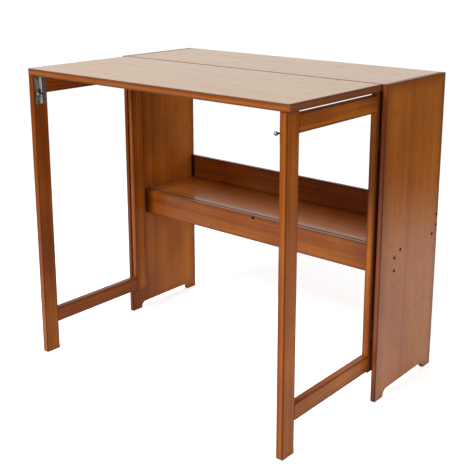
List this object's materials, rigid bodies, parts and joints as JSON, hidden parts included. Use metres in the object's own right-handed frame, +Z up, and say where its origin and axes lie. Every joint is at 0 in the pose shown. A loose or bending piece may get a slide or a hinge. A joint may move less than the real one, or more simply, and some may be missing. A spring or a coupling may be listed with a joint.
{
  "type": "folding desk",
  "caption": "Folding bamboo desk: fixed rear carcass with a low shelf, a hinged front leaf and swing-out gate legs that bolt up into the leaf.",
  "frame": {"origin": "middle of the desk's outline on the floor", "axes": "+X along the width to the right as seen from the front, +Y from the front edge to the back, +Z up"},
  "size_m": [0.832, 0.6, 0.75],
  "materials": {
    "stained_bamboo": "satin lacquer over a honey brown stain, laminated strips with darker node marks",
    "zinc_plate": "bright zinc plate",
    "blackened_steel": "blackened"
  },
  "bodies": {
    "carcass": {"apron_middle_screw": "blackened_steel", "apron_screw_high_left": "blackened_steel", "apron_screw_high_right": "blackened_steel", "apron_screw_low_left": "blackened_steel", "apron_screw_low_right": "blackened_steel", "back_rail_middle_screw": "blackened_steel", "back_rail_screw_high_left": "blackened_steel", "back_rail_screw_high_right": "blackened_steel", "back_rail_screw_low_left": "blackened_steel", "back_rail_screw_low_right": "blackened_steel", "flap_hinge_left_board_leaf": "zinc_plate", "flap_hinge_left_pin": "zinc_plate", "flap_hinge_right_board_leaf": "zinc_plate", "flap_hinge_right_pin": "zinc_plate", "gate_hinge_left_high_panel_leaf": "zinc_plate", "gate_hinge_left_high_pin": "zinc_plate", "gate_hinge_left_low_panel_leaf": "zinc_plate", "gate_hinge_left_low_pin": "zinc_plate", "gate_hinge_right_high_panel_leaf": "zinc_plate", "gate_hinge_right_high_pin": "zinc_plate", "gate_hinge_right_low_panel_leaf": "zinc_plate", "gate_hinge_right_low_pin": "zinc_plate", "rear_top_board": "stained_bamboo", "shelf_apron": "stained_bamboo", "shelf_back_rail": "stained_bamboo", "shelf_board": "stained_bamboo", "shelf_screw_front_left": "blackened_steel", "shelf_screw_front_right": "blackened_steel", "shelf_screw_rear_left": "blackened_steel", "shelf_screw_rear_right": "blackened_steel", "side_panel_left": "stained_bamboo", "side_panel_right": "stained_bamboo"},
    "flap": {"flap_board": "stained_bamboo", "flap_hinge_left_flap_leaf": "zinc_plate", "flap_hinge_right_flap_leaf": "zinc_plate"},
    "left_gate": {"bolt_body_left": "zinc_plate", "bolt_screw_left_high": "zinc_plate", "bolt_screw_left_low": "zinc_plate", "bolt_screw_left_middle": "zinc_plate", "bottom_rail_left": "stained_bamboo", "front_leg_left": "stained_bamboo", "gate_hinge_left_high_gate_leaf": "zinc_plate", "gate_hinge_left_low_gate_leaf": "zinc_plate", "rear_stile_left": "stained_bamboo", "top_rail_left": "stained_bamboo"},
    "right_gate": {"bolt_body_right": "zinc_plate", "bolt_screw_right_high": "zinc_plate", "bolt_screw_right_low": "zinc_plate", "bolt_screw_right_middle": "zinc_plate", "bottom_rail_right": "stained_bamboo", "front_leg_right": "stained_bamboo", "gate_hinge_right_high_gate_leaf": "zinc_plate", "gate_hinge_right_low_gate_leaf": "zinc_plate", "rear_stile_right": "stained_bamboo", "top_rail_right": "stained_bamboo"},
    "left_bolt": {"bolt_knob_left": "zinc_plate", "bolt_rod_left": "zinc_plate"},
    "right_bolt": {"bolt_knob_right": "zinc_plate", "bolt_rod_right": "zinc_plate"}
  },
  "joints": [
    {"name": "leaf_lift", "type": "hinge", "parent": "carcass", "child": "flap", "pos_m": [0, 0.035, 0.73], "axis": [-1, 0, 0], "range_deg": [0, 5]},
    {"name": "left_gate_swing", "type": "hinge", "parent": "carcass", "child": "left_gate", "pos_m": [-0.4, 0.066, 0.4], "axis": [0, 0, -1], "range_deg": [-90, 0]},
    {"name": "right_gate_swing", "type": "hinge", "parent": "carcass", "child": "right_gate", "pos_m": [0.4, 0.066, 0.4], "axis": [0, 0, 1], "range_deg": [-90, 0]},
    {"name": "left_bolt_slide", "type": "slide", "parent": "left_gate", "child": "left_bolt", "axis": [0, 0, 1], "range_m": [0, 0.009]},
    {"name": "right_bolt_slide", "type": "slide", "parent": "right_gate", "child": "right_bolt", "axis": [0, 0, 1], "range_m": [0, 0.009]}
  ]
}
